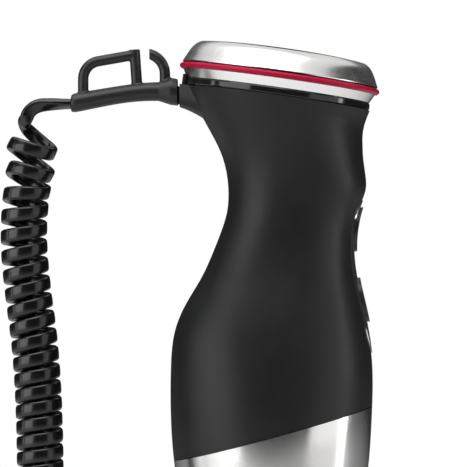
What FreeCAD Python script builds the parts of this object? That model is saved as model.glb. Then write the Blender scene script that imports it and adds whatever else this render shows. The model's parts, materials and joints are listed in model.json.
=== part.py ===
import FreeCAD, Part
import math
import os

# Immersion blender standing on its bell: +Z up, +X towards the switch side, -X towards the cord.
# The origin is the centre of the bell's rim, on the surface that it stands on. Millimetres.

Vector = FreeCAD.Vector
X_AXIS = Vector(1, 0, 0)
Y_AXIS = Vector(0, 1, 0)
Z_AXIS = Vector(0, 0, 1)

# ---------------------------------------------------------------- driving dimensions

SKIN = 2.0                  # wall of the soft grip and of the steel shell
HOUSING_OUT = 2.15          # inset of the inner housing's outer face
HOUSING_IN = 4.1            # inset of the inner housing's inner face
SECTION_POINTS = 24

DIAL_TILT = 8.0             # the dial leans towards the switch side, degrees
DIAL_CENTRE = Vector(1.7, 0, 382.7)
BODY_TOP = -0.4             # height of the body's top edge, along the dial axis

# Cross-sections of the grip from top to bottom:
# front x, front z, rear x, rear z, half width, squareness (2 is an ellipse)
GRIP_SECTIONS = (
    (33.7, 380.6, -28.8, 389.4, 31.6, 2.0),
    (33.2, 378.2, -28.8, 386.9, 31.3, 2.0),
    (31.9, 374.9, -27.4, 383.2, 30.0, 2.0),
    (30.9, 371.2, -25.3, 379.0, 28.6, 2.05),
    (30.7, 366.5, -21.8, 372.5, 26.6, 2.15),
    (31.1, 360.0, -17.6, 364.4, 24.7, 2.3),
    (31.8, 351.6, -15.0, 354.0, 23.1, 2.45),
    (30.0, 346.2, -14.9, 346.2, 22.4, 2.5),
    (28.0, 338.0, -16.9, 338.0, 22.4, 2.5),
    (27.6, 330.0, -20.0, 330.0, 23.0, 2.5),
    (28.6, 321.5, -23.9, 321.5, 24.4, 2.45),
    (30.6, 312.5, -29.2, 312.5, 26.6, 2.4),
    (32.6, 303.0, -33.0, 303.0, 28.8, 2.35),
    (33.9, 293.0, -34.2, 293.0, 30.4, 2.3),
    (34.1, 283.0, -34.4, 283.0, 31.2, 2.2),
    (33.7, 272.0, -34.2, 272.0, 31.5, 2.1),
    (32.9, 260.0, -33.3, 260.0, 31.1, 2.0),
    (31.2, 247.0, -31.4, 247.0, 29.9, 2.0),
    (28.6, 233.0, -28.7, 233.0, 28.0, 2.0),
    (26.2, 219.0, -26.2, 219.0, 26.0, 2.0),
    (25.0, 206.0, -25.0, 206.0, 25.0, 2.0),
    (24.9, 203.0, -24.9, 203.0, 24.9, 2.0),
)

NECK_BOTTOM = 205.2
NECK_TOP = 223.8
SHELL_BOTTOM = 224.0
GRIP_EDGE = Vector(34.0, 0, 278.3)      # the grip's lower edge at the front
GRIP_EDGE_SLOPE = 15.3                  # it falls towards the cord side, degrees
EDGE_GAP = 0.3

# Switch panel and its two buttons
PANEL_HALF_WIDTH = 9.0
PANEL_LOW = 296.0
PANEL_HIGH = 347.6
PANEL_PROUD = 0.35
PANEL_DEPTH = 1.9
BUTTON_HALF_WIDTH = 6.6
BUTTON_PROUD = 1.3
BUTTON_GAP = 0.3
POWER_LOW = 330.3
POWER_HIGH = 345.3
TURBO_LOW = 306.5
TURBO_HIGH = 321.5
HEAD_BACK = 23.9                        # x of the back of a button's head
STEM_RADIUS = 3.0
STEM_END = 13.0
GUIDE_FACE = 18.5             # front face of the guide plate, where the springs rest
BUTTON_CENTRES = ((POWER_LOW + POWER_HIGH) / 2, (TURBO_LOW + TURBO_HIGH) / 2)
RUNNING_FIT = 0.05

# Dial stack, measured along the dial axis
DIAL_BORE = 28.5
ACCENT_RADIUS = 34.15
CAP_RADIUS = 33.3
CAP_BOTTOM = 7.57
CAP_SHOULDER = 15.0
CAP_TOP = 16.2

# Cord outlet, sleeve and hook
OUTLET_END = -31.3
PASSAGE_Z = 383.2
PASSAGE_RADIUS = 3.1
SLEEVE_START = -31.9
SLEEVE_END = -68.1
HOOK_BAR = 1.8                          # radius of the hook's bars

# Motor
SHAFT_RADIUS = 3.0
STACK_LOW = 241.0
STACK_HIGH = 269.0
STACK_BORE = 14.0
ROTOR_RADIUS = 13.5
BRUSH_Z = 284.0
BEARING_RADIUS = 9.5
BEARING_HEIGHT = 6.0
UPPER_BEARING_Z = 293.0
LOWER_BEARING_Z = 219.3
MOUNT_RADIUS = 15.4
SCREW_Y = 21.2

# Foot
FOOT_TOP = 204.9
SOCKET_RADIUS = 17.6
BOSS_RADIUS = 17.3
BOSS_TOP = 218.0
TUBE_RADIUS = 12.5
TUBE_WALL = 1.2
BELL_TOP = 48.0
BELL_RADIUS = 34.0
DRIVE_RADIUS = 4.0
BLADE_Z = 11.0
BLADE_REACH = 25.0

# Release buttons, one in each side of the neck
LATCH_OUTER = 20.6
LATCH_HOLE = 18.4
LATCH_OFFSET = 0.8
LATCH_THICKNESS = 1.6
LATCH_Z = {"left": 210.0, "right": 213.2}
PAD_LOW = 209.2
PAD_HIGH = 216.2

# Cord: flat, 5.2 wide and 3.3 thick, wound into a coil of 15.6 outside
CORD_RADIUS = 2.6
COIL_RADIUS = 7.8
CORD_ROUTE = (
    (-68.1, 0.0, 380.3),
    (-74.3, 0.0, 380.3),
    (-80.4, 0.0, 379.7),
    (-83.6, 0.0, 376.0),
    (-82.6, 0.0, 370.8),
    (-81.0, 0.0, 362.8),
    (-83.4, 0.0, 350.0),
    (-84.4, 0.5, 335.0),
    (-83.0, 0.8, 318.0),
    (-80.4, 0.4, 300.0),
    (-79.0, 0.0, 280.0),
    (-78.4, -0.6, 256.0),
    (-78.8, -0.4, 228.0),
    (-78.2, 0.5, 198.0),
    (-78.6, 0.9, 166.0),
    (-78.0, 0.2, 134.0),
    (-78.4, 0.0, 106.0),
    (-78.1, 0.8, 84.0),
    (-78.6, 1.8, 66.0),
    (-78.0, 3.4, 50.0),
    (-77.0, 6.8, 36.0),
    (-74.5, 12.2, 22.5),
    (-70.2, 19.4, 11.3),
    (-64.2, 28.0, 4.6),
    (-56.8, 37.0, 2.7),
    (-48.0, 46.0, 2.7),
    (-38.6, 53.6, 2.7),
    (-30.6, 58.6, 3.0),
    (-23.6, 61.8, 5.6),
    (-17.2, 63.8, 9.8),
    (-10.6, 64.6, 12.5),
    (-4.5, 64.6, 12.5),
)
COIL_FIRST = 4              # the coil starts half way along the run after this point
COIL_LAST = 18              # and ends half way along the run after this one
ARC_SHARE = 0.45            # share of the shorter run that an arc takes

# Plug with two round pins, lying on its side
PLUG_START = Vector(-4.5, 64.6, 12.5)
PLUG_LENGTH = 42.0
PIN_RADIUS = 2.4
PIN_SPACING = 19.0
PIN_LENGTH = 19.0
PIN_POINT = 1.0


# ---------------------------------------------------------------- shape helpers

def block(x_low, x_high, y_low, y_high, z_low, z_high):
    size = (x_high - x_low, y_high - y_low, z_high - z_low)
    return Part.makeBox(*size, Vector(x_low, y_low, z_low))


def cylinder(radius, z_low, z_high, x=0.0, y=0.0):
    return Part.makeCylinder(radius, z_high - z_low, Vector(x, y, z_low))


def cylinder_x(radius, x_low, x_high, z, y=0.0):
    return Part.makeCylinder(radius, x_high - x_low, Vector(x_low, y, z), X_AXIS)


def cylinder_y(radius, y_low, y_high, x, z):
    return Part.makeCylinder(radius, y_high - y_low, Vector(x, y_low, z), Y_AXIS)


def bar(start, end, radius):
    along = end - start
    return Part.makeCylinder(radius, along.Length, start, along)


def straight_edges(points):
    corners = [Vector(r, 0, z) for r, z in points]
    return [Part.LineSegment(a, b).toShape() for a, b in zip(corners, corners[1:])]


def smooth_edge(points):
    curve = Part.BSplineCurve()
    curve.interpolate([Vector(r, 0, z) for r, z in points])
    return curve.toShape()


def spun(edges):
    return Part.Face(Part.Wire(edges)).revolve(Vector(), Z_AXIS, 360)


def turned(points):
    return spun(straight_edges(list(points) + [points[0]]))


def ring(inner, outer, z_low, z_high):
    return cylinder(outer, z_low, z_high).cut(cylinder(inner, z_low - 1, z_high + 1))


def rotated(shape, angle):
    """The shape turned about the upright axis, angle in degrees."""
    turned_shape = shape.copy()
    turned_shape.rotate(Vector(), Z_AXIS, angle)
    return turned_shape


def around(shape, count, first=0.0):
    return [rotated(shape, first + 360.0 * i / count) for i in range(count)]


def mirrored_y(shape):
    return shape.mirror(Vector(), Y_AXIS)


def on_dial(shape):
    placed = shape.copy()
    placed.rotate(Vector(), Y_AXIS, DIAL_TILT)
    placed.translate(DIAL_CENTRE)
    return placed


def side_of(point, tilt, above=True):
    """Everything above or below a plane through the point, tilted about Y."""
    reach = 500.0
    low = 0.0 if above else -reach
    half = block(-reach, reach, -reach, reach, low, low + reach)
    half.rotate(Vector(), Y_AXIS, tilt)
    half.translate(point)
    return half


def stadium(half_width, z_low, z_high, x_low, x_high):
    """A prism along X with round top and bottom."""
    middle = block(x_low, x_high, -half_width, half_width, z_low + half_width, z_high - half_width)
    top = cylinder_x(half_width, x_low, x_high, z_high - half_width)
    bottom = cylinder_x(half_width, x_low, x_high, z_low + half_width)
    return middle.fuse([top, bottom]).removeSplitter()


def oval_wire(middle, along, reach, side, squareness):
    """A closed superellipse in the plane of `along` and Y; its seam is on the +Y side."""
    points = []
    for i in range(SECTION_POINTS):
        turn = 2 * math.pi * i / SECTION_POINTS + math.pi / 2
        forward = math.copysign(abs(math.cos(turn)) ** (2 / squareness), math.cos(turn))
        sideways = math.copysign(abs(math.sin(turn)) ** (2 / squareness), math.sin(turn))
        points.append(middle + along * (reach * forward) + Y_AXIS * (side * sideways))
    curve = Part.BSplineCurve()
    curve.interpolate(Points=points, PeriodicFlag=True)
    return Part.Wire(curve.toShape())


def body_form(inset):
    """The grip's outer form, drawn in by the inset all round."""
    wires = []
    for front_x, front_z, rear_x, rear_z, half_width, squareness in GRIP_SECTIONS:
        front = Vector(front_x, 0, front_z)
        rear = Vector(rear_x, 0, rear_z)
        along = (front - rear).normalize()
        reach = (front - rear).Length / 2 - inset
        wires.append(oval_wire((front + rear) / 2, along, reach, half_width - inset, squareness))
    return Part.makeLoft(wires, True, False)


# ---------------------------------------------------------------- the body's own forms

OUTER = body_form(0.0)
SKIN_INSIDE = body_form(SKIN)
HOUSING_OUTSIDE = body_form(HOUSING_OUT)
HOUSING_INSIDE = body_form(HOUSING_IN)
BUTTON_FACE = body_form(-BUTTON_PROUD)

DIAL_AXIS = Vector(math.sin(math.radians(DIAL_TILT)), 0, math.cos(math.radians(DIAL_TILT)))
TOP_POINT = DIAL_CENTRE + DIAL_AXIS * BODY_TOP
ABOVE_BODY = side_of(TOP_POINT, DIAL_TILT)
ABOVE_EDGE = side_of(GRIP_EDGE, -GRIP_EDGE_SLOPE)
BELOW_EDGE = side_of(GRIP_EDGE - Z_AXIS * EDGE_GAP, -GRIP_EDGE_SLOPE, above=False)
CORD_PASSAGE = cylinder_x(PASSAGE_RADIUS, -60.0, -10.0, PASSAGE_Z)


# ---------------------------------------------------------------- outer skin

def outlet_boss():
    """The spout at the rear that the cord sleeve plugs into."""
    stations = ((OUTLET_END, 379.2, 390.0, 5.6), (-25.0, 376.4, 391.5, 8.2), (-10.0, 362.0, 394.0, 14.0))
    wires = []
    for x, low, high, half_width in stations:
        middle = Vector(x, 0, (low + high) / 2)
        wires.append(oval_wire(middle, Z_AXIS, (high - low) / 2, half_width, 2.8))
    return Part.makeLoft(wires, True, False)


def outlet_lip():
    """The low wall round the rear of the trim ring, on top of the spout."""
    wall = ring(31.8, 32.6, BODY_TOP - 0.6, 3.2)
    sector = block(-40, -20, -6.0, 6.0, -5, 5)
    return on_dial(wall.common(sector))


def grip_cover():
    shell = OUTER.cut(SKIN_INSIDE).cut(ABOVE_BODY).common(ABOVE_EDGE)
    boss = outlet_boss().cut(SKIN_INSIDE).cut(ABOVE_BODY)
    opening = stadium(PANEL_HALF_WIDTH + 0.1, PANEL_LOW - 0.1, PANEL_HIGH + 0.1, 15, 45)
    return shell.fuse(boss).fuse(outlet_lip()).cut(CORD_PASSAGE).cut(opening)


def lower_shell():
    below = block(-60, 60, -60, 60, SHELL_BOTTOM, 300)
    return OUTER.cut(SKIN_INSIDE).common(BELOW_EDGE).common(below)


def switch_panel():
    plate = body_form(-PANEL_PROUD).cut(body_form(PANEL_DEPTH))
    plate = plate.common(stadium(PANEL_HALF_WIDTH, PANEL_LOW, PANEL_HIGH, 15, 45))
    return plate.cut([button_hole(POWER_LOW, POWER_HIGH), button_hole(TURBO_LOW, TURBO_HIGH)])


def button_hole(low, high):
    width = BUTTON_HALF_WIDTH + BUTTON_GAP
    return stadium(width, low - BUTTON_GAP, high + BUTTON_GAP, 20, 45)


# ---------------------------------------------------------------- inner housing

HOUSING_SCREW_PLACES = ((-21.5, 301.6), (23.8, 301.6), (6.5, 358.0), (21.5, 357.0))
SCREW_HEAD_Y = -10.0
SCREW_END_Y = 10.0


def housing():
    shell = HOUSING_OUTSIDE.cut(HOUSING_INSIDE)
    inside = body_form((HOUSING_OUT + HOUSING_IN) / 2)
    bosses = [cylinder_y(3.2, -40, 40, x, z).common(inside) for x, z in HOUSING_SCREW_PLACES]
    shelf = inside.common(block(-60, 60, -60, 60, 293.0, 297.0))
    wire_way = block(-24, -17, -5, 5, 290, 299)
    screw_ways = [cylinder(3.2, 290, 299, 0, y) for y in (-SCREW_Y, SCREW_Y)]
    shelf = shelf.cut([cylinder(MOUNT_RADIUS + 0.1, 290, 299), wire_way] + screw_ways)
    shell = shell.fuse(bosses + [shelf])
    cuts = [ABOVE_BODY, block(-60, 60, -60, 60, 190, NECK_TOP)]
    cuts += [button_hole(POWER_LOW, POWER_HIGH), button_hole(TURBO_LOW, TURBO_HIGH)]
    cuts += [CORD_PASSAGE]
    for x, z in HOUSING_SCREW_PLACES:
        cuts.append(cylinder_y(1.5, SCREW_HEAD_Y, SCREW_END_Y + 1, x, z))
        cuts.append(cylinder_y(2.9, -50, SCREW_HEAD_Y + 2, x, z))
    return shell.cut(cuts)


def housing_half(whole, side):
    low, high = (0, 60) if side == "left" else (-60, 0)
    return whole.common(block(-60, 60, low, high, 190, 400))


def housing_screws():
    screws = []
    for x, z in HOUSING_SCREW_PLACES:
        head = cylinder_y(2.6, SCREW_HEAD_Y, SCREW_HEAD_Y + 2, x, z)
        shank = cylinder_y(1.4, SCREW_HEAD_Y, SCREW_END_Y, x, z)
        slot = block(x - 2.2, x + 2.2, SCREW_HEAD_Y - 1, SCREW_HEAD_Y + 0.8, z - 0.4, z + 0.4)
        screws.append(head.fuse(shank).cut(slot))
    return Part.makeCompound(screws)


def neck_ring():
    """The collar with the air slots that takes the foot and both release buttons."""
    form = OUTER.common(block(-60, 60, -60, 60, NECK_BOTTOM, NECK_TOP))
    latch_room = cylinder(22.8, 208.5, 216.8)
    socket = cylinder(SOCKET_RADIUS, 200, 218.5)
    motor_seat = [cylinder(12.9, 218, 220), cylinder(MOUNT_RADIUS + 0.1, 219.4, 230)]
    slot = block(20, 30, -0.9, 0.9, 209.6, 215.8)
    slots = [s for i, s in enumerate(around(slot, 20)) if i not in (4, 5, 6, 14, 15, 16)]
    vents = around(cylinder(1.4, 210, 230, 19.6), 12, 15)
    window = block(-7.3, 7.3, 20, 30, PAD_LOW - 0.3, PAD_HIGH + 0.3)
    windows = [window, mirrored_y(window)]
    return form.cut([latch_room, socket] + motor_seat + slots + vents + windows)


# ---------------------------------------------------------------- dial stack

def ring_carrier():
    """The moulded seat that closes the body and carries the three rings and the speed control."""
    outline = (
        (4.6, -3.5), (24.4, -3.5), (24.4, 0.0), (28.45, 0.0), (28.45, 7.3),
        (26.4, 7.3), (26.4, 1.8), (22.4, 1.8), (22.4, -1.0), (4.6, -1.0),
    )
    return on_dial(turned(outline))


def trim_ring():
    outline = ((DIAL_BORE, -0.15), (31.3, -0.15), (31.5, 0.1), (31.5, 1.6), (31.1, 2.1), (DIAL_BORE, 2.1))
    return on_dial(turned(outline))


def collar_ring():
    return on_dial(turned(((DIAL_BORE, 2.2), (31.2, 2.2), (32.7, 5.1), (DIAL_BORE, 5.1))))


def accent_ring():
    edge = smooth_edge(((33.1, 5.2), (33.8, 5.5), (ACCENT_RADIUS, 6.2), (33.8, 6.9), (33.1, 7.2)))
    rest = straight_edges(((33.1, 7.2), (DIAL_BORE, 7.2), (DIAL_BORE, 5.2), (33.1, 5.2)))
    return on_dial(spun([edge] + rest))


def potentiometer():
    body = cylinder(8.2, -12.0, -3.5)
    bushing = cylinder(4.5, -3.5, 1.4)
    nut = cylinder(6.6, -1.0, 1.0)
    lugs = block(-12.0, -7.0, -5.0, 5.0, -9.5, -8.5)
    bore = cylinder(SHAFT_RADIUS + RUNNING_FIT, -6.1, 2.0)
    return on_dial(body.fuse([bushing, nut, lugs]).cut(bore))


def potentiometer_shaft():
    shaft = cylinder(SHAFT_RADIUS, -6.0, 13.2)
    return on_dial(shaft.cut(block(2.2, 4.0, -4, 4, 4.0, 14.0)))


def dial_cap():
    side = smooth_edge(((CAP_RADIUS, CAP_BOTTOM + 0.3), (31.5, 11.6), (29.15, 14.5), (28.3, CAP_SHOULDER)))
    dome = smooth_edge(((28.3, CAP_SHOULDER), (24.0, 15.5), (13.0, 16.05), (0.0, CAP_TOP)))
    under = smooth_edge(((0.0, CAP_TOP - 1.0), (13.0, 15.05), (24.0, 14.5), (27.5, 13.95)))
    rim = ((27.5, 13.95), (32.2, CAP_BOTTOM), (CAP_RADIUS, CAP_BOTTOM), (CAP_RADIUS, CAP_BOTTOM + 0.3))
    rest = straight_edges(rim)
    crown = straight_edges(((0.0, CAP_TOP), (0.0, CAP_TOP - 1.0)))
    cap = spun([side, dome] + crown + [under] + rest)
    pointer = block(19.0, 26.0, -0.6, 0.6, 15.0, 18.0)
    return on_dial(cap.cut(pointer))


def dial_core():
    outline = (
        (SHAFT_RADIUS + 0.02, 2.0), (8.0, 2.0), (8.0, 12.2), (25.4, 12.2), (25.4, 8.6),
        (26.8, 8.6), (26.8, 13.75), (SHAFT_RADIUS + 0.02, 13.75),
    )
    rib = block(7.5, 25.8, -0.7, 0.7, 9.5, 12.6)
    return on_dial(turned(outline).fuse(around(rib, 6)))


# ---------------------------------------------------------------- switch gear

def button(low, high):
    """An oval head that follows the body's face, on a round stem."""
    head = BUTTON_FACE.common(stadium(BUTTON_HALF_WIDTH, low, high, HEAD_BACK, 45))
    stem = cylinder_x(STEM_RADIUS, STEM_END, HEAD_BACK + 1, (low + high) / 2)
    return head.fuse(stem)


def button_guide():
    """The plate behind the panel that both stems slide through."""
    frame = block(15.5, GUIDE_FACE, -9.0, 9.0, 303.5, 348.5)
    holes = [cylinder_x(STEM_RADIUS + RUNNING_FIT, 10, 25, z) for z in BUTTON_CENTRES]
    slots = [cylinder_x(2.0, 10, 25, 325.9, y) for y in (-5.5, 5.5)]
    return frame.cut(holes + slots)


def button_spring(z):
    """A coil spring of square wire round the stem, between the guide and the head."""
    half_wire = 0.32
    coil_radius = 4.1
    length = HEAD_BACK - GUIDE_FACE - 2 * half_wire - 0.1
    helix = Part.makeHelix(length / 4, length, coil_radius)
    near = coil_radius - half_wire
    far = coil_radius + half_wire
    corners = [Vector(near, 0, -half_wire), Vector(far, 0, -half_wire),
               Vector(far, 0, half_wire), Vector(near, 0, half_wire)]
    section = Part.makePolygon(corners + [corners[0]])
    spring = Part.Wire(helix).makePipeShell([section], True, True)
    spring.rotate(Vector(), Y_AXIS, 90)
    spring.translate(Vector(GUIDE_FACE + half_wire + 0.05, 0, z))
    return spring


def control_board():
    board = block(0.0, 1.6, -14.0, 14.0, 305.0, 352.0)
    return board.cut([cylinder_x(1.6, -1, 3, z, y) for z in (309, 348) for y in (-11, 11)])


def micro_switches():
    switches = []
    for z in BUTTON_CENTRES:
        body = block(1.6, 9.8, -3.2, 3.2, z - 6.4, z + 6.4)
        plunger = cylinder_x(1.2, 9.8, 10.8, z)
        switches.append(body.fuse(plunger))
    return Part.makeCompound(switches)


def suppression_capacitor():
    return block(-12.0, 0.0, -12.0, 3.0, 308.0, 321.0)


def heat_sink():
    base = block(-2.0, 0.0, -12.0, 12.0, 327.0, 344.0)
    fins = [block(-8.0, -1.5, y - 0.6, y + 0.6, 327.0, 344.0) for y in range(-10, 11, 4)]
    return base.fuse(fins)


# ---------------------------------------------------------------- cord outlet and cord

def cord_clamp():
    body = block(-9.0, -3.4, -6.2, 6.2, 355.0, 363.0)
    return body.cut([cylinder(2.0, 350, 370, -6.2, 0.0), cylinder_x(1.2, -20, 0, 359.0, -4.4)])


def sleeve_piece(stations, ruled):
    """A run of the sleeve through ovals, each given by its x, middle height, half height and half width."""
    wires = []
    for x, z, half_height, half_width in stations:
        wires.append(oval_wire(Vector(x, 0, z), Z_AXIS, half_height, half_width, 2.2))
    return Part.makeLoft(wires, True, ruled)


def sleeve_tube():
    """The bend relief: a flared collar at the body, then a slim tube that droops towards the cord."""
    collar_end = (-38.4, 384.5, 3.2, 3.9)
    tube_end = (-66.6, 380.75, 3.25, 3.9)
    collar = ((SLEEVE_START, 384.2, 4.5, 4.8), (-34.3, 384.6, 4.65, 5.0), collar_end)
    tube = (
        collar_end, (-45.4, 384.2, 3.1, 3.85), (-52.4, 383.3, 3.05, 3.8), (-59.5, 382.05, 3.15, 3.85), tube_end,
    )
    tip = (tube_end, (-67.7, 380.55, 3.0, 3.65), (SLEEVE_END, 380.5, 2.6, 3.3))
    return sleeve_piece(collar, True).fuse([sleeve_piece(tube, False), sleeve_piece(tip, True)])


def hook_bend(centre, radius, first, last):
    """A bent round bar in the XZ plane; angles in degrees from +X towards +Z."""
    outward = [Vector(math.cos(math.radians(a)), 0, math.sin(math.radians(a))) for a in (first, last)]
    across = Vector(-outward[0].z, 0, outward[0].x)
    section = Part.Face(Part.Wire(Part.makeCircle(HOOK_BAR, centre + outward[0] * radius, across)))
    bend = section.revolve(centre, Y_AXIS, first - last)
    return bend, centre + outward[1] * radius, outward[1]


def cord_sleeve():
    """Bend relief, closed loop and open horn, one rubber moulding."""
    loop_bend = 6.05
    loop_x = -64.0
    bend_z = 388.8
    top_bar_length = 12.7
    horn_bend = 6.9
    horn_x = -36.3
    horn_z = 390.5
    bend, bend_end, outward = hook_bend(Vector(loop_x + loop_bend, 0, bend_z), loop_bend, 180, 100)
    corner = bend_end + Vector(outward.z, 0, -outward.x) * top_bar_length
    leg_foot = Vector(-45.6, 0, 384.5)
    leg = (corner - leg_foot).normalize()
    horn = hook_bend(Vector(horn_x - horn_bend, 0, horn_z), horn_bend, 0, 88)[0]
    pieces = [
        bar(Vector(loop_x, 0, 381.5), Vector(loop_x, 0, bend_z), HOOK_BAR),
        bend,
        bar(bend_end, corner, HOOK_BAR),
        bar(leg_foot, corner + leg * HOOK_BAR, HOOK_BAR + 0.05),
        bar(Vector(horn_x, 0, 386.0), Vector(horn_x, 0, horn_z), HOOK_BAR),
        horn.cut(block(-60, -41.6, -10, 10, 380, 410)),
        cylinder_x(PASSAGE_RADIUS - 0.1, -33.0, -23.4, PASSAGE_Z),
    ]
    return sleeve_tube().fuse(pieces)


def rounded_path(name, points):
    """Straight runs joined by tangent arcs, as large as their two runs allow."""
    edges = []
    start = points[0]
    radii = []
    for before, here, after in zip(points, points[1:], points[2:]):
        back = before - here
        on = after - here
        cut = ARC_SHARE * min(back.Length, on.Length)
        back.normalize()
        on.normalize()
        half_turn = (math.pi - back.getAngle(on)) / 2
        radius = cut / math.tan(half_turn)
        bisector = (back + on).normalize()
        arc_middle = here + bisector * (radius / math.cos(half_turn) - radius)
        arc_start = here + back * cut
        arc_end = here + on * cut
        edges.append(Part.LineSegment(start, arc_start).toShape())
        edges.append(Part.Arc(arc_start, arc_middle, arc_end).toShape())
        start = arc_end
        radii.append(radius)
    edges.append(Part.LineSegment(start, points[-1]).toShape())
    print(name, "radii", [round(r, 1) for r in radii])
    return Part.Wire(edges)


def cord_tube(name, points, radius):
    path = rounded_path(name, points)
    section = Part.Wire(Part.makeCircle(radius, points[0], points[1] - points[0]))
    tube = path.makePipeShell([section], True, False)
    share = tube.Volume / (math.pi * radius ** 2 * path.Length)
    print(name, "length", round(path.Length, 1), "volume over section times length", round(share, 4))
    return tube


def cord_tubes():
    """The lead from the sleeve, the coil as one fat tube, and the tail to the plug."""
    route = [Vector(*p) for p in CORD_ROUTE]
    coil_top = (route[COIL_FIRST] + route[COIL_FIRST + 1]) / 2
    coil_bottom = (route[COIL_LAST] + route[COIL_LAST + 1]) / 2
    lead = route[:COIL_FIRST + 1] + [coil_top]
    coil = [coil_top] + route[COIL_FIRST + 1:COIL_LAST + 1] + [coil_bottom]
    tail = [coil_bottom] + route[COIL_LAST + 1:]
    return {
        "cord_lead": cord_tube("cord_lead", lead, CORD_RADIUS),
        "cord_coil": cord_tube("cord_coil", coil, COIL_RADIUS),
        "cord_tail": cord_tube("cord_tail", tail, CORD_RADIUS),
    }


def plug_body():
    stations = ((0.0, 4.0, 4.0, 2.0), (10.0, 6.0, 5.4, 2.0), (17.0, 14.0, 9.4, 2.6),
                (23.0, 17.4, 11.9, 3.4), (30.0, 18.0, 12.4, 4.0), (PLUG_LENGTH, 18.0, 12.4, 4.0))
    wires = []
    for distance, half_width, half_height, squareness in stations:
        middle = PLUG_START + X_AXIS * distance
        wires.append(oval_wire(middle, Z_AXIS, half_height, half_width, squareness))
    return Part.makeLoft(wires, True, False)


def plug_pin(side):
    start = PLUG_START + Vector(PLUG_LENGTH, side * PIN_SPACING / 2, 0)
    shank = Part.makeCylinder(PIN_RADIUS, PIN_LENGTH - PIN_POINT, start, X_AXIS)
    point_start = start + X_AXIS * (PIN_LENGTH - PIN_POINT)
    return shank.fuse(Part.makeCone(PIN_RADIUS, PIN_RADIUS - PIN_POINT, PIN_POINT, point_start, X_AXIS))


def plug_pins():
    return Part.makeCompound([plug_pin(side) for side in (-1, 1)])


# ---------------------------------------------------------------- motor, fixed pieces

COIL_WINDOW_LOW = 14.3
COIL_WINDOW_HIGH = 18.8


def motor_stator():
    core = block(-24.0, 24.0, -23.2, 23.2, STACK_LOW, STACK_HIGH)
    core = core.common(cylinder(24.8, STACK_LOW, STACK_HIGH))
    cuts = [cylinder(STACK_BORE, 230, 280)]
    for side in (-1, 1):
        low, high = sorted((side * (COIL_WINDOW_LOW - 0.1), side * (COIL_WINDOW_HIGH + 0.1)))
        cuts.append(block(-16.1, -10.9, low, high, 230, 280))
        cuts.append(block(10.9, 16.1, low, high, 230, 280))
        cuts.append(cylinder(1.4, 230, 280, 0, side * SCREW_Y))
    return core.cut(cuts)


def field_coils():
    outer = block(-16.0, 16.0, COIL_WINDOW_LOW, COIL_WINDOW_HIGH, STACK_LOW - 4, STACK_HIGH + 4)
    inner = block(-11.0, 11.0, 10, 25, STACK_LOW - 0.1, STACK_HIGH + 0.1)
    coil = outer.cut(inner)
    ends = [e for e in coil.Edges if e.Length > 4 and abs(abs(e.CenterOfMass.x) - 16) < 0.1
            and abs(e.tangentAt(e.FirstParameter).y) > 0.9]
    coil = coil.makeFillet(2.5, ends)
    return Part.makeCompound([coil, mirrored_y(coil)])


def upper_bracket():
    floor = 289.5
    cross = block(-24.0, 24.0, -6.0, 6.0, floor, 292.5)
    beam = block(-5.0, 5.0, -23.8, 23.8, floor, 292.5)
    legs = [block(-5.0, 5.0, low, high, STACK_HIGH, 290) for low, high in ((19.0, 23.4), (-23.4, -19.0))]
    cup = cylinder(12.0, floor, UPPER_BEARING_Z + BEARING_HEIGHT)
    holders = [block(low, high, -6.0, 6.0, BRUSH_Z + 5.0, 290) for low, high in ((11, 22), (-22, -11))]
    seat = cylinder(BEARING_RADIUS, UPPER_BEARING_Z, 310)
    way = cylinder(8.6, 280, 300)
    holes = [cylinder(1.4, 260, 300, 0, y) for y in (-SCREW_Y, SCREW_Y)]
    return cross.fuse([beam, cup] + legs + holders).cut([seat, way] + holes)


def lower_bracket():
    beam = block(-4.0, 4.0, -22.0, 22.0, 224.0, 227.0)
    cup = cylinder(12.0, 219.0, 227.0)
    legs = [block(-4.0, 4.0, low, high, 224.0, STACK_LOW) for low, high in ((19.0, 22.0), (-22.0, -19.0))]
    feet = [block(-4.0, 4.0, low, high, 238.0, STACK_LOW) for low, high in ((19.0, 23.4), (-23.4, -19.0))]
    seat = cylinder(BEARING_RADIUS, 210, LOWER_BEARING_Z + BEARING_HEIGHT)
    holes = [cylinder(1.4, 238.4, 250, 0, y) for y in (-SCREW_Y, SCREW_Y)]
    return beam.fuse([cup] + legs + feet).cut([seat, cylinder(6.0, 210, 230)] + holes)


def bracket_screws():
    screws = []
    for y in (-SCREW_Y, SCREW_Y):
        head = cylinder(2.6, 292.5, 295.0, 0, y)
        shank = cylinder(1.3, 238.5, 293.0, 0, y)
        screws.append(head.fuse(shank).cut(block(-3, 3, y - 0.4, y + 0.4, 294.2, 296)))
    return Part.makeCompound(screws)


def bearing(z_low):
    """A ball bearing with its grooves and balls as one closed solid."""
    outline = (
        (SHAFT_RADIUS + 0.02, 0.0), (4.6, 0.0), (5.2, 0.6), (7.4, 0.6), (8.0, 0.0),
        (BEARING_RADIUS - 0.02, 0.0),
        (BEARING_RADIUS - 0.02, BEARING_HEIGHT), (8.0, BEARING_HEIGHT), (7.4, BEARING_HEIGHT - 0.6),
        (5.2, BEARING_HEIGHT - 0.6), (4.6, BEARING_HEIGHT), (SHAFT_RADIUS + 0.02, BEARING_HEIGHT),
    )
    solid = turned(outline)
    solid.translate(Z_AXIS * z_low)
    return solid


def brush_holder():
    holder = block(9.6, 24.0, -5.0, 5.0, BRUSH_Z - 5.0, BRUSH_Z + 5.0)
    return holder.cut(block(5, 22.5, -3.1, 3.1, BRUSH_Z - 3.1, BRUSH_Z + 3.1))


def carbon_brush():
    brush = block(7.6, 19.0, -3.0, 3.0, BRUSH_Z - 3.0, BRUSH_Z + 3.0)
    return brush.cut(cylinder(8.1, BRUSH_Z - 10, BRUSH_Z + 10))


def both_ways(shape):
    return Part.makeCompound([shape, rotated(shape, 180)])


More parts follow.
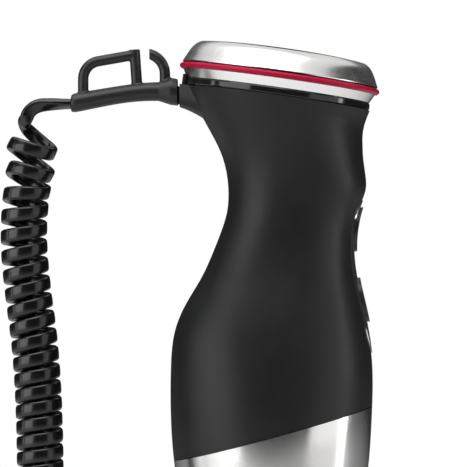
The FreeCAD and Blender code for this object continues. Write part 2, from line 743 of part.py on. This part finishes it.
def motor_mounts():
    return Part.makeCompound([
        ring(12.0, MOUNT_RADIUS, 293.2, 298.6),
        ring(12.0, MOUNT_RADIUS, 219.5, 223.6),
    ])


# ---------------------------------------------------------------- rotor

def motor_shaft():
    return cylinder(SHAFT_RADIUS, 206.0, 302.0)


def armature():
    core = cylinder(ROTOR_RADIUS, STACK_LOW, STACK_HIGH)
    slots = around(block(9.0, 15.0, -1.0, 1.0, 230, 280), 12)
    ends = [cylinder(11.5, 236.0, STACK_LOW), cylinder(11.5, STACK_HIGH, 275.0)]
    return core.cut(slots).fuse(ends).cut(cylinder(SHAFT_RADIUS, 230, 280))


def commutator():
    drum = ring(SHAFT_RADIUS, 8.0, 277.5, 289.0)
    return drum.cut(around(block(7.2, 9.0, -0.3, 0.3, 279.0, 290.0), 12))


def cooling_fan():
    disc = ring(SHAFT_RADIUS, 17.8, 228.5, 229.7)
    hub = ring(SHAFT_RADIUS, 6.0, 228.5, 235.0)
    blades = around(block(5.5, 17.4, -0.5, 0.5, 229.0, 235.0), 11)
    return disc.fuse([hub] + blades)


def drive_dog():
    """The four-wing driver on the end of the motor shaft."""
    hub = cylinder(6.0, 209.0, 215.0)
    wings = [block(-5.8, 5.8, -1.5, 1.5, 199.5, 210.0), block(-1.5, 1.5, -5.8, 5.8, 199.5, 210.0)]
    core = cylinder(3.4, 199.5, 210.0)
    return hub.fuse(wings + [core]).cut(cylinder(SHAFT_RADIUS, 206.0, 220.0))


# ---------------------------------------------------------------- foot

def foot_tube():
    outside = ((24.3, FOOT_TOP), (24.1, 200.0), (22.6, 192.0), (19.0, 181.5), (15.6, 170.0),
               (13.6, 157.0), (12.7, 140.0), (TUBE_RADIUS, 118.0), (TUBE_RADIUS, 80.0),
               (TUBE_RADIUS, BELL_TOP))
    inside = [(r - TUBE_WALL, z) for r, z in reversed(outside)]
    ends = [straight_edges((outside[-1], inside[0])), straight_edges((inside[-1], outside[0]))]
    return spun([smooth_edge(outside)] + ends[0] + [smooth_edge(inside)] + ends[1])


def foot_coupler():
    """The moulding in the foot's mouth: locking boss above, seat of the upper bush below."""
    outline = (
        (8.0, 184.0), (10.5, 184.0), (10.5, 194.0), (22.0, 199.0), (22.7, 204.0), (BOSS_RADIUS, 204.0),
        (BOSS_RADIUS, 209.4), (16.2, 209.9), (16.2, 215.0), (BOSS_RADIUS, 215.5), (BOSS_RADIUS, 217.4),
        (16.7, BOSS_TOP), (14.5, BOSS_TOP), (14.5, 198.5), (11.0, 195.5), (8.0, 195.5),
    )
    return turned(outline)


def bell():
    outside = ((TUBE_RADIUS, BELL_TOP), (13.5, 43.2), (17.2, 38.9), (23.6, 35.2), (29.6, 30.8),
               (33.0, 24.0), (BELL_RADIUS, 15.5), (BELL_RADIUS, 8.0))
    inside = ((32.7, 8.0), (32.7, 15.3), (31.8, 23.5), (28.7, 29.8), (23.0, 33.9),
              (16.4, 37.8), (12.2, 42.6), (11.3, BELL_TOP))
    rim = straight_edges((outside[-1], (BELL_RADIUS, 0.0), (32.7, 0.0), inside[0]))
    top = straight_edges((inside[-1], outside[0]))
    body = spun([smooth_edge(outside)] + rim + [smooth_edge(inside)] + top)
    arch = cylinder_x(10.5, 20, 40, 0.0)
    return body.cut(around(arch, 4, 45))


def shaft_bushes():
    return Part.makeCompound([
        ring(DRIVE_RADIUS + RUNNING_FIT, 8.0, 184.0, 195.0),
        ring(DRIVE_RADIUS + RUNNING_FIT, 11.2, 49.0, 66.0),
    ])


def shaft_seal():
    return turned(((4.05, 38.6), (5.6, 38.6), (7.0, 44.0), (11.0, 46.5), (11.0, 49.0), (4.05, 49.0)))


def drive_shaft():
    return cylinder(DRIVE_RADIUS, BLADE_Z + 1.2, 198.0).fuse(cylinder(2.5, 6.6, 20.0))


def shaft_socket():
    cup = cylinder(8.6, 196.0, 208.0)
    ways = [block(-6.3, 6.3, -2.0, 2.0, 198.6, 210), block(-2.0, 2.0, -6.3, 6.3, 198.6, 210)]
    return cup.cut(ways + [cylinder(3.9, 198.6, 210), cylinder(DRIVE_RADIUS, 190, 198.0)])


def blade_wing(rise):
    """One wing: flat near the hub, then bent, with its leading edge ground thin."""
    thickness = 1.2
    wires = []
    for reach, lift, half in ((3.5, 0.0, 5.0), (13.0, 0.0, 5.0), (BLADE_REACH, rise, 3.4)):
        low = BLADE_Z + lift
        corners = [Vector(reach, -half, low), Vector(reach, half, low),
                   Vector(reach, half - 2.2, low + thickness), Vector(reach, -half, low + thickness)]
        wires.append(Part.makePolygon(corners + [corners[0]]))
    return Part.makeLoft(wires, True, True)


def blade():
    wings = [rotated(blade_wing(4.6 if i % 2 == 0 else -3.4), 90 * i) for i in range(4)]
    hub = cylinder(7.5, BLADE_Z, BLADE_Z + 1.2)
    return hub.fuse(wings).cut(cylinder(2.52, 0, 30))


def blade_nut():
    corners = [Vector(4.6 * math.cos(math.radians(a)), 4.6 * math.sin(math.radians(a)), 7.0)
               for a in range(0, 361, 60)]
    nut = Part.Face(Part.makePolygon(corners)).extrude(Z_AXIS * (BLADE_Z - 7.0))
    return nut.cut(cylinder(2.52, 0, 30))


# ---------------------------------------------------------------- release buttons

def release_button(side):
    low = LATCH_Z[side]
    high = low + LATCH_THICKNESS
    latch = cylinder(LATCH_OUTER, low, high).cut(cylinder(LATCH_HOLE, low - 1, high + 1, 0, LATCH_OFFSET))
    stem = block(-4.0, 4.0, 20.0, 24.6, low, high)
    pad = ring(24.0, 26.7, PAD_LOW, PAD_HIGH).common(block(-7.0, 7.0, 10, 40, PAD_LOW, PAD_HIGH))
    shape = latch.fuse([stem, pad])
    return shape if side == "left" else mirrored_y(shape)


def release_spring(side):
    """A bowed leaf between the latch ring and the wall of the neck."""
    low = LATCH_Z[side]
    thickness = 0.3
    arcs = []
    for offset in (0.0, thickness):
        side_y = -21.2 + offset
        ends = (Vector(-8.0, side_y, low), Vector(0, side_y + 0.25, low), Vector(8.0, side_y, low))
        arcs.append(Part.Arc(*ends).toShape())
    caps = [Part.LineSegment(arcs[0].Vertexes[i].Point, arcs[1].Vertexes[i].Point).toShape() for i in (0, 1)]
    leaf = Part.Face(Part.Wire([arcs[0], caps[1], arcs[1], caps[0]])).extrude(Z_AXIS * LATCH_THICKNESS)
    return leaf if side == "left" else mirrored_y(leaf)


# ---------------------------------------------------------------- every piece by name

def all_parts():
    whole_housing = housing()
    parts = {
        "grip_cover": grip_cover(),
        "lower_shell": lower_shell(),
        "switch_panel": switch_panel(),
        "housing_left": housing_half(whole_housing, "left"),
        "housing_right": housing_half(whole_housing, "right"),
        "housing_screws": housing_screws(),
        "neck_ring": neck_ring(),
        "ring_carrier": ring_carrier(),
        "trim_ring": trim_ring(),
        "collar_ring": collar_ring(),
        "accent_ring": accent_ring(),
        "potentiometer": potentiometer(),
        "potentiometer_shaft": potentiometer_shaft(),
        "dial_cap": dial_cap(),
        "dial_core": dial_core(),
        "power_button": button(POWER_LOW, POWER_HIGH),
        "turbo_button": button(TURBO_LOW, TURBO_HIGH),
        "power_spring": button_spring(BUTTON_CENTRES[0]),
        "turbo_spring": button_spring(BUTTON_CENTRES[1]),
        "button_guide": button_guide(),
        "control_board": control_board(),
        "micro_switches": micro_switches(),
        "suppression_capacitor": suppression_capacitor(),
        "heat_sink": heat_sink(),
        "cord_clamp": cord_clamp(),
        "cord_sleeve": cord_sleeve(),
        "plug_body": plug_body(),
        "plug_pins": plug_pins(),
        "motor_stator": motor_stator(),
        "field_coils": field_coils(),
        "upper_bracket": upper_bracket(),
        "lower_bracket": lower_bracket(),
        "bracket_screws": bracket_screws(),
        "upper_bearing": bearing(UPPER_BEARING_Z),
        "lower_bearing": bearing(LOWER_BEARING_Z),
        "brush_holders": both_ways(brush_holder()),
        "carbon_brushes": both_ways(carbon_brush()),
        "motor_mounts": motor_mounts(),
        "motor_shaft": motor_shaft(),
        "armature": armature(),
        "commutator": commutator(),
        "cooling_fan": cooling_fan(),
        "drive_dog": drive_dog(),
        "foot_tube": foot_tube(),
        "foot_coupler": foot_coupler(),
        "bell": bell(),
        "shaft_bushes": shaft_bushes(),
        "shaft_seal": shaft_seal(),
        "drive_shaft": drive_shaft(),
        "shaft_socket": shaft_socket(),
        "blade": blade(),
        "blade_nut": blade_nut(),
    }
    for side in ("left", "right"):
        parts["release_button_" + side] = release_button(side)
        parts["release_spring_" + side] = release_spring(side)
    parts.update(cord_tubes())
    return parts


def export(name, shape):
    """Write the piece; a piece is one solid, or several alike that are listed as one."""
    solids = shape.Solids
    print(name, "solids", len(solids), "volume", round(shape.Volume, 1), "valid", shape.isValid())
    whole = solids[0] if len(solids) == 1 else Part.makeCompound(solids)
    whole.exportStep("parts/" + name + ".step")


os.makedirs("parts", exist_ok=True)
for part_name, part_shape in all_parts().items():
    export(part_name, part_shape)
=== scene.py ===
import json
import math

import bmesh
import bpy
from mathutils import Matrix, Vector


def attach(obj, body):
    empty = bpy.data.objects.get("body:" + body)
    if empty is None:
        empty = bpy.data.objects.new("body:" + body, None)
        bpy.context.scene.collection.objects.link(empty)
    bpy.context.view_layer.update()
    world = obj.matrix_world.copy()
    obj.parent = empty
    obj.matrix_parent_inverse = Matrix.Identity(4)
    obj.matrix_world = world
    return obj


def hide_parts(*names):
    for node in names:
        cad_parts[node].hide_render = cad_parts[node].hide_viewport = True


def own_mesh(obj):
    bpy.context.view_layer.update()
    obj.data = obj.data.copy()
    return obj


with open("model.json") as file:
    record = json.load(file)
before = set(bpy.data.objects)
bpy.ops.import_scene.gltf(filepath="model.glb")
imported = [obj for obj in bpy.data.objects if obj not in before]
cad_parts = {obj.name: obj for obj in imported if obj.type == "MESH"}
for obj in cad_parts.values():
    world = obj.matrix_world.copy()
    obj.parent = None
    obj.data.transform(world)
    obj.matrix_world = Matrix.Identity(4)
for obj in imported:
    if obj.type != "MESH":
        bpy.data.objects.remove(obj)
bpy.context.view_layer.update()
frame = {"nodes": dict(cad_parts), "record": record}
NODES = frame["nodes"]

# ---------------------------------------------------------------- camera
VIEW_WIDTH = 0.1583  # what the picture is wide, at the blender's axis
CAMERA_DISTANCE = 1.3
SENSOR = 36
CAMERA_PLACE = (-0.01305, -CAMERA_DISTANCE, 0.3364)
camera = bpy.data.objects.new("camera", bpy.data.cameras.new("camera"))
camera.data.sensor_width = SENSOR
camera.data.lens = SENSOR * CAMERA_DISTANCE / VIEW_WIDTH
camera.location = CAMERA_PLACE
camera.rotation_euler = (math.radians(90), 0, 0)
bpy.context.scene.collection.objects.link(camera)
bpy.context.scene.camera = camera

# ---------------------------------------------------------------- sizes
DIAL_TILT = math.radians(8)
DIAL_CENTRE = Vector((0.0017, 0, 0.3827))

# The cord's route, which is the CAD model's in metres: the lead from the sleeve, the axis of the coil that
# hangs behind the handle, and the tail that runs down to the surface and along it to the plug.
ROUTE = [
    (-0.0681, 0.0, 0.3803), (-0.0743, 0.0, 0.3803), (-0.0804, 0.0, 0.3797), (-0.0836, 0.0, 0.376),
    (-0.0826, 0.0, 0.3708), (-0.081, 0.0, 0.3628), (-0.0834, 0.0, 0.35), (-0.0844, 0.0005, 0.335),
    (-0.083, 0.0008, 0.318), (-0.0804, 0.0004, 0.3), (-0.079, 0.0, 0.28), (-0.0784, -0.0006, 0.256),
    (-0.0788, -0.0004, 0.228), (-0.0782, 0.0005, 0.198), (-0.0786, 0.0009, 0.166),
    (-0.078, 0.0002, 0.134), (-0.0784, 0.0, 0.106), (-0.0781, 0.0008, 0.084), (-0.0786, 0.0018, 0.066),
    (-0.078, 0.0034, 0.05), (-0.077, 0.0068, 0.036), (-0.0745, 0.0122, 0.0225),
    (-0.0702, 0.0194, 0.0113), (-0.0642, 0.028, 0.0046), (-0.0568, 0.037, 0.0027),
    (-0.048, 0.046, 0.0027), (-0.0386, 0.0536, 0.0027), (-0.0306, 0.0586, 0.003),
    (-0.0236, 0.0618, 0.0056), (-0.0172, 0.0638, 0.0098), (-0.0106, 0.0646, 0.0125),
    (-0.0045, 0.0646, 0.0125),
]
COIL_TOP = Vector((-0.0829, 0, 0.376))
COIL_FOOT = Vector((-0.0784, 0.0013, 0.058))
COIL_RADIUS = 0.0066  # from the coil's axis to the middle of the cable
RISE = 0.0094  # the length of axis, and half a turn, over which the cable moves out to that radius
PITCH_TOP = 0.0078  # the rise of a turn at the coil's top
PITCH = 0.0053  # and where its own weight no longer opens the turns
PITCH_WAVES = ((0.00014, 0.0131), (0.0001, 0.0047))  # how far it varies along the coil, and over what
STRETCHED = 0.095  # the length of axis over which its own weight opens the turns
TILT = math.radians(38)  # how far the uppermost turn leans
LEAN_START = 0.004  # the stretch of axis over which the turns come level
LEAN_END = 0.0316
TWIST_START = math.radians(20)  # how far the flat lead is turned about its own line at the sleeve
TWIST_TOP = math.radians(75)  # and where it enters the coil
CABLE_WIDTH = 0.0046
CABLE_THICKNESS = 0.0027
LINE_STEP = 0.00016  # the least distance between the points that are read from the route
CURVE_STEPS = 192  # to each span of the route's curve
SECTION_POINTS = 16  # round the cable
SLEEVE_VOXEL = 0.00025
SLEEVE_PASSES = 5  # of the smoothing that makes the sleeve's fillets
SLEEVE_SMOOTHING = 0.5
WELD = 1e-7  # points nearer than this are one
ROUNDING = 0.5  # 1 would make the cable's section an ellipse, and 0 a rectangle
MM = 0.001


def smooth_step(x, low, high):
    """0 below low and 1 above high, with a smooth rise between them."""
    x = min(max((x - low) / (high - low), 0), 1)
    return x * x * (3 - 2 * x)


def link(name, mesh):
    """A new object at the origin that shows the mesh."""
    made = bpy.data.objects.new(name, mesh)
    bpy.context.scene.collection.objects.link(made)
    return made


def mesh_of(name, points, faces):
    """A smooth-shaded mesh from its points and faces."""
    mesh = bpy.data.meshes.new(name)
    mesh.from_pydata(points, [], faces)
    mesh.update()
    mesh.shade_smooth()
    return mesh


# ---------------------------------------------------------------- sleeve
def moulded(node, name, voxel, passes):
    """A copy of a CAD node as one moulding, with a small fillet wherever its bars and tubes meet."""
    mesh = NODES[node].data.copy()
    work = bmesh.new()
    work.from_mesh(mesh)
    bmesh.ops.remove_doubles(work, verts=work.verts, dist=WELD)
    work.to_mesh(mesh)
    work.free()
    made = link(name, mesh)
    remesh = made.modifiers.new("remesh", "REMESH")
    remesh.mode = "VOXEL"
    remesh.voxel_size = voxel
    soften = made.modifiers.new("soften", "SMOOTH")
    soften.factor = SLEEVE_SMOOTHING
    soften.iterations = passes
    view = bpy.context.evaluated_depsgraph_get()
    done = bpy.data.meshes.new_from_object(made.evaluated_get(view))
    made.modifiers.clear()
    made.data = done
    done.shade_smooth()
    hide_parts(node)
    return made


sleeve = moulded("cord_sleeve", "hooked_sleeve", SLEEVE_VOXEL, SLEEVE_PASSES)
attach(sleeve, "handle")


# ---------------------------------------------------------------- springs
def pressed_spring(node):
    """A copy of a button's coil spring, on the handle, with a mesh of its own."""
    made = link(node + "_coil", NODES[node].data.copy())
    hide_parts(node)
    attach(made, "handle")
    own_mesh(made)
    return made


springs = [pressed_spring("power_spring"), pressed_spring("turbo_spring")]


# ---------------------------------------------------------------- cord
def route_line():
    """Points along the route's own smooth curve."""
    curve = bpy.data.curves.new("cord_route", "CURVE")
    curve.dimensions = "3D"
    spline = curve.splines.new("NURBS")
    spline.points.add(len(ROUTE) - 1)
    for point, place in zip(spline.points, ROUTE):
        point.co = (*place, 1)
    spline.order_u = 3
    spline.use_endpoint_u = True
    spline.resolution_u = CURVE_STEPS
    made = link("cord_route", curve)
    found = [v.co.copy() for v in bpy.data.meshes.new_from_object(made).vertices]
    bpy.data.objects.remove(made)
    kept = [found[0]]
    for point in found:
        if (point - kept[-1]).length > LINE_STEP:
            kept.append(point)
    kept[-1] = found[-1]
    return kept


def frames_along(line):
    """(distance, point, direction, side) for each point of the line, the side carried along without twist."""
    found = []
    gone = 0
    side = Vector((0, 0, -1))
    for i, point in enumerate(line):
        before = line[max(i - 1, 0)]
        after = line[min(i + 1, len(line) - 1)]
        gone += (point - before).length
        ahead = (after - before).normalized()
        side = (side - ahead * side.dot(ahead)).normalized()
        found.append((gone, point, ahead, side))
    return found


def coiled(stations):
    """The middle of the cable and the way that its flat side faces, for each station of the route."""
    top = min(stations, key=lambda s: (s[1] - COIL_TOP).length)[0]
    foot = min(stations, key=lambda s: (s[1] - COIL_FOOT).length)[0]
    turned = -math.pi
    last = 0
    middles = []
    facings = []
    for gone, point, ahead, side in stations:
        front = ahead.cross(side)
        lean = TILT * (1 - smooth_step(gone, top + LEAN_START, top + LEAN_END))
        leaning = side + ahead * math.tan(lean)
        if top < gone < top + RISE:
            turned += math.pi * (gone - last) / RISE
        elif top < gone < foot:
            wave = sum(height * math.sin(gone / length) for height, length in PITCH_WAVES)
            slack = max(0, 1 - (gone - top) / STRETCHED)
            turned += math.tau * (gone - last) / (PITCH + wave + (PITCH_TOP - PITCH) * slack)
        last = gone
        radius = COIL_RADIUS * smooth_step(gone, top, top + RISE) * (1 - smooth_step(gone, foot - RISE, foot))
        middles.append(point + (leaning * math.cos(turned) + front * math.sin(turned)) * radius)
        twist = TWIST_START + (TWIST_TOP - TWIST_START) * smooth_step(gone, 0, top)
        facing = turned + twist * (1 - smooth_step(gone, top, top + RISE))
        facings.append(leaning * math.cos(facing) + front * math.sin(facing))
    return middles, facings


def ribbon(name, middles, facings):
    """The flat cable: a rounded strip swept along its middle line."""
    around = SECTION_POINTS
    points = []
    for i, middle in enumerate(middles):
        ahead = (middles[min(i + 1, len(middles) - 1)] - middles[max(i - 1, 0)]).normalized()
        across = ahead.cross(facings[i]).normalized()
        out = across.cross(ahead)
        for k in range(around):
            angle = math.tau * k / around
            c = math.cos(angle)
            s = math.sin(angle)
            # a superellipse, which is flatter on its sides than an ellipse
            wide = math.copysign(abs(c) ** ROUNDING, c) * CABLE_WIDTH / 2
            thick = math.copysign(abs(s) ** ROUNDING, s) * CABLE_THICKNESS / 2
            points.append(middle + across * wide + out * thick)
    faces = []
    for i in range(len(middles) - 1):
        for k in range(around):
            a = i * around + k
            b = i * around + (k + 1) % around
            faces.append((a, b, b + around, a + around))
    faces.append(tuple(reversed(range(around))))
    faces.append(tuple(range(len(points) - around, len(points))))
    return link(name, mesh_of(name, points, faces))


cable_middles, cable_facings = coiled(frames_along(route_line()))
cord = ribbon("curly_cord", cable_middles, cable_facings)
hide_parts("cord_lead", "cord_coil", "cord_tail")
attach(cord, "handle")


# ---------------------------------------------------------------- materials
NOISE_ROUGHNESS = 0.6
PATCH_DETAIL = 3
GRAIN_DETAIL = 4
NOISE_LOW = 0.7  # the stretch of two noises' sum that is spread over a finish's range of roughness
NOISE_HIGH = 1.3


def add(tree, kind, inputs=(), **settings):
    """A shader node with its settings, and each of its inputs linked to a socket or set to a value."""
    made = tree.nodes.new("ShaderNode" + kind)
    for name, value in settings.items():
        setattr(made, name, value)
    for name, value in dict(inputs).items():
        if isinstance(value, bpy.types.NodeSocket):
            tree.links.new(value, made.inputs[name])
        else:
            made.inputs[name].default_value = value
    return made


def noise(tree, place, size, detail):
    """Noise whose patches are about the size given, in metres."""
    made = add(tree, "TexNoise", {"Vector": place, "Scale": 1 / size, "Detail": detail,
                                  "Roughness": NOISE_ROUGHNESS})
    return made.outputs["Fac"]


def lathe(tree, place, centre, tilt):
    """The place as (distance from an axis, 0, height along it), so that a pattern runs round the axis."""
    moved = add(tree, "Mapping", {"Vector": place, "Location": centre, "Rotation": (0, tilt, 0)},
                vector_type="TEXTURE")
    parts = add(tree, "SeparateXYZ", {"Vector": moved.outputs["Vector"]})
    flat = add(tree, "CombineXYZ", {"X": parts.outputs["X"], "Y": parts.outputs["Y"]})
    away = add(tree, "VectorMath", {0: flat.outputs["Vector"]}, operation="LENGTH")
    return add(tree, "CombineXYZ", {"X": away.outputs["Value"], "Z": parts.outputs["Z"]}).outputs["Vector"]


def finish(name, colours, roughness, sizes, more):
    """A procedural finish. Its colour drifts between two colours over patches of one size, and its roughness
    and its surface vary over a finer grain, which may be stretched along an axis or run round one."""
    patch, fine, bump = [size * MM for size in sizes]
    material = bpy.data.materials.new(name)
    material.use_nodes = True
    tree = material.node_tree
    shader = tree.nodes["Principled BSDF"]
    for socket in sorted(set(more) - {"stretch", "axis"}):
        shader.inputs[socket].default_value = more[socket]
    place = add(tree, "TexCoord").outputs["Object"]
    patches = noise(tree, place, patch, PATCH_DETAIL)
    if "axis" in more:
        place = lathe(tree, place, *more["axis"])
    long = add(tree, "Mapping", {"Vector": place, "Scale": more.get("stretch", (1, 1, 1))})
    grain = noise(tree, long.outputs["Vector"], fine, GRAIN_DETAIL)
    mixed = add(tree, "Mix", {"Factor": patches}, data_type="RGBA")
    colour_a, colour_b = [s for s in mixed.inputs if s.type == "RGBA"][:2]
    colour_a.default_value = (*colours[0], 1)
    colour_b.default_value = (*colours[1], 1)
    blend = [s for s in mixed.outputs if s.type == "RGBA"][0]
    tree.links.new(blend, shader.inputs["Base Color"])
    both = add(tree, "Math", {0: patches, 1: grain}, operation="ADD")
    rough = add(tree, "MapRange", {"Value": both.outputs["Value"],
                                   "From Min": NOISE_LOW, "From Max": NOISE_HIGH,
                                   "To Min": roughness[0], "To Max": roughness[1]})
    tree.links.new(rough.outputs["Result"], shader.inputs["Roughness"])
    relief = add(tree, "Bump", {"Height": grain, "Distance": bump, "Strength": 1.0})
    tree.links.new(relief.outputs["Normal"], shader.inputs["Normal"])
    return material


def grey(level, warm=0.0):
    """A grey, a little warm if above 0 and a little cool if below."""
    return (level * (1 + warm), level, level * (1 - warm))


DIAL_AXIS = (DIAL_CENTRE, DIAL_TILT)
UPRIGHT = (Vector((0, 0, 0)), 0.0)

# For each finish: its two colours, the range of its roughness, the millimetres that its colour patches and
# its grain are across and its relief is deep, and what else it has.
FINISHES = {
    "soft_grip": ((grey(0.008, -0.03), grey(0.011, -0.03)), (0.38, 0.46), (9, 0.3, 0.02),
                  {"Specular IOR Level": 0.32}),
    "brushed_steel": ((grey(0.7, 0.01), grey(0.76, 0.01)), (0.14, 0.2), (12, 0.12, 0.0025),
                      {"stretch": (0.03, 0.03, 1), "Metallic": 1, "Anisotropic": 0.5}),
    "dial_steel": ((grey(0.72, 0.01), grey(0.78, 0.01)), (0.2, 0.3), (12, 0.1, 0.0025),
                   {"axis": DIAL_AXIS, "Metallic": 1, "Anisotropic": 0.5}),
    # collar_steel_painted_light is a lighter copy of dial_steel: its brighter colour is painted light,
    # standing in for the light that the collar catches
    "collar_steel_painted_light": ((grey(0.92, 0.005), grey(0.96, 0.005)), (0.16, 0.24), (12, 0.1, 0.002),
                     {"axis": DIAL_AXIS, "Metallic": 1, "Anisotropic": 0.5}),
    "accent_red": (((0.37, 0.003, 0.033), (0.42, 0.004, 0.04)), (0.26, 0.36), (6, 0.3, 0.002),
                   {"Specular IOR Level": 0.15}),
    "gloss_black": ((grey(0.008), grey(0.012)), (0.07, 0.14), (8, 0.3, 0.001), {}),
    "black_plastic": ((grey(0.014), grey(0.02)), (0.36, 0.48), (6, 0.25, 0.01), {}),
    "button_plastic": ((grey(0.013), grey(0.019)), (0.34, 0.44), (5, 0.2, 0.008), {}),
    "inner_plastic": ((grey(0.05), grey(0.065)), (0.4, 0.52), (8, 0.4, 0.02), {}),
    "sleeve_rubber": ((grey(0.007), grey(0.011)), (0.36, 0.48), (4, 0.2, 0.006), {}),
    "cord_black": ((grey(0.003), grey(0.005)), (0.24, 0.34), (7, 0.3, 0.004),
                   {"Specular IOR Level": 0.25, "Coat Weight": 0.6, "Coat Roughness": 0.13}),
    "pin_metal": ((grey(0.6, 0.03), grey(0.7, 0.03)), (0.18, 0.28), (4, 0.15, 0.002),
                  {"stretch": (0.1, 1, 1), "Metallic": 1}),
    "laminations": ((grey(0.2), grey(0.3)), (0.35, 0.5), (3, 0.5, 0.03),
                    {"stretch": (0.05, 0.05, 1), "Metallic": 1}),
    "copper": (((0.75, 0.3, 0.14), (0.85, 0.38, 0.2)), (0.24, 0.36), (3, 0.35, 0.02),
               {"stretch": (0.1, 0.1, 1), "Metallic": 1}),
    "carbon": ((grey(0.02), grey(0.035)), (0.55, 0.7), (2, 0.15, 0.01), {}),
    "machined_steel": ((grey(0.5), grey(0.6)), (0.22, 0.36), (5, 0.1, 0.003),
                       {"axis": UPRIGHT, "Metallic": 1}),
    "circuit_board": (((0.01, 0.1, 0.04), (0.015, 0.14, 0.055)), (0.3, 0.42), (3, 0.3, 0.01), {}),
    "capacitor_case": (((0.55, 0.38, 0.06), (0.62, 0.45, 0.08)), (0.3, 0.4), (5, 0.3, 0.006), {}),
    "aluminium_block": ((grey(0.62), grey(0.72)), (0.3, 0.45), (5, 0.2, 0.008), {"Metallic": 1}),
    "bronze": (((0.55, 0.36, 0.14), (0.62, 0.43, 0.18)), (0.26, 0.38), (4, 0.15, 0.004),
               {"Metallic": 1}),
    "seal_rubber": ((grey(0.02), grey(0.03)), (0.5, 0.62), (3, 0.2, 0.01), {}),
    "blade_steel": ((grey(0.6), grey(0.7)), (0.14, 0.26), (6, 0.12, 0.002),
                    {"stretch": (1, 0.04, 1), "Metallic": 1}),
    "floor_paint": ((grey(0.8), grey(0.82)), (0.6, 0.7), (60, 2, 0.02), {}),
}
finishes = {name: finish(name, *values) for name, values in FINISHES.items()}


def paint(thing, name):
    """The finish alone on the object."""
    thing.data.materials.clear()
    thing.data.materials.append(finishes[name])


for part in frame["record"]["subparts"]:
    paint(NODES[part["node"]], part["material_slot"])
paint(NODES["dial_cap"], "dial_steel")
# the collar gets the lighter copy of the dial's steel, whose colour paints in the light that falls on it
paint(NODES["collar_ring"], "collar_steel_painted_light")
paint(cord, "cord_black")
paint(sleeve, "sleeve_rubber")
for spring in springs:
    paint(spring, "machined_steel")

# ---------------------------------------------------------------- studio
FLOOR_RADIUS = 3.0
FLOOR_SIDES = 96
SKY_SEEN = 1.0  # the strength of the white world where the camera sees it
SKY_LIGHT = 0.025  # and where it lights the scene and shows in reflections
LIGHT_TARGET = Vector((0, 0, 0.33))
bpy.ops.mesh.primitive_circle_add(vertices=FLOOR_SIDES, radius=FLOOR_RADIUS, fill_type="NGON")
floor = bpy.context.object
floor.name = "floor"
paint(floor, "floor_paint")

world = bpy.data.worlds.new("studio")
bpy.context.scene.world = world
world.use_nodes = True
sky = world.node_tree
seen = add(sky, "LightPath").outputs["Is Camera Ray"]
strength = add(sky, "MapRange", {"Value": seen, "To Min": SKY_LIGHT, "To Max": SKY_SEEN})
backdrop = sky.nodes["Background"]
backdrop.inputs["Color"].default_value = (1, 1, 1, 1)
sky.links.new(strength.outputs["Result"], backdrop.inputs["Strength"])


def softbox(name, azimuth, elevation, distance, width, height, radiance):
    """A soft light that faces the handle. Azimuth 0 is at the camera, and 90 to its right."""
    a = math.radians(azimuth)
    e = math.radians(elevation)
    offset = Vector((math.sin(a) * math.cos(e), -math.cos(a) * math.cos(e), math.sin(e))) * distance
    lamp = bpy.data.lights.new(name, "AREA")
    lamp.shape = "RECTANGLE"
    lamp.size = width
    lamp.size_y = height
    lamp.energy = radiance * math.pi * width * height
    made = bpy.data.objects.new(name, lamp)
    made.location = LIGHT_TARGET + offset
    made.rotation_euler = (-offset).to_track_quat("-Z", "Y").to_euler()
    bpy.context.scene.collection.objects.link(made)


# azimuth, elevation, distance, width, height, radiance
SOFTBOXES = {
    "ceiling": (0, 90, 1.05, 2.6, 2.6, 0.85),
    "key": (-24, 66, 0.95, 1.1, 0.8, 2.4),
    "right_box": (64, 2, 1.4, 1.3, 1.3, 1.0),
    "right_strip": (84, 6, 1.3, 0.14, 1.0, 5),
    "left_box": (-56, 2, 1.4, 1.1, 1.3, 2.5),
    "left_strip": (-88, 6, 1.3, 0.12, 1.0, 2.5),
}
for box_name, box_values in SOFTBOXES.items():
    softbox(box_name, *box_values)
bpy.context.scene.view_settings.view_transform = "Standard"
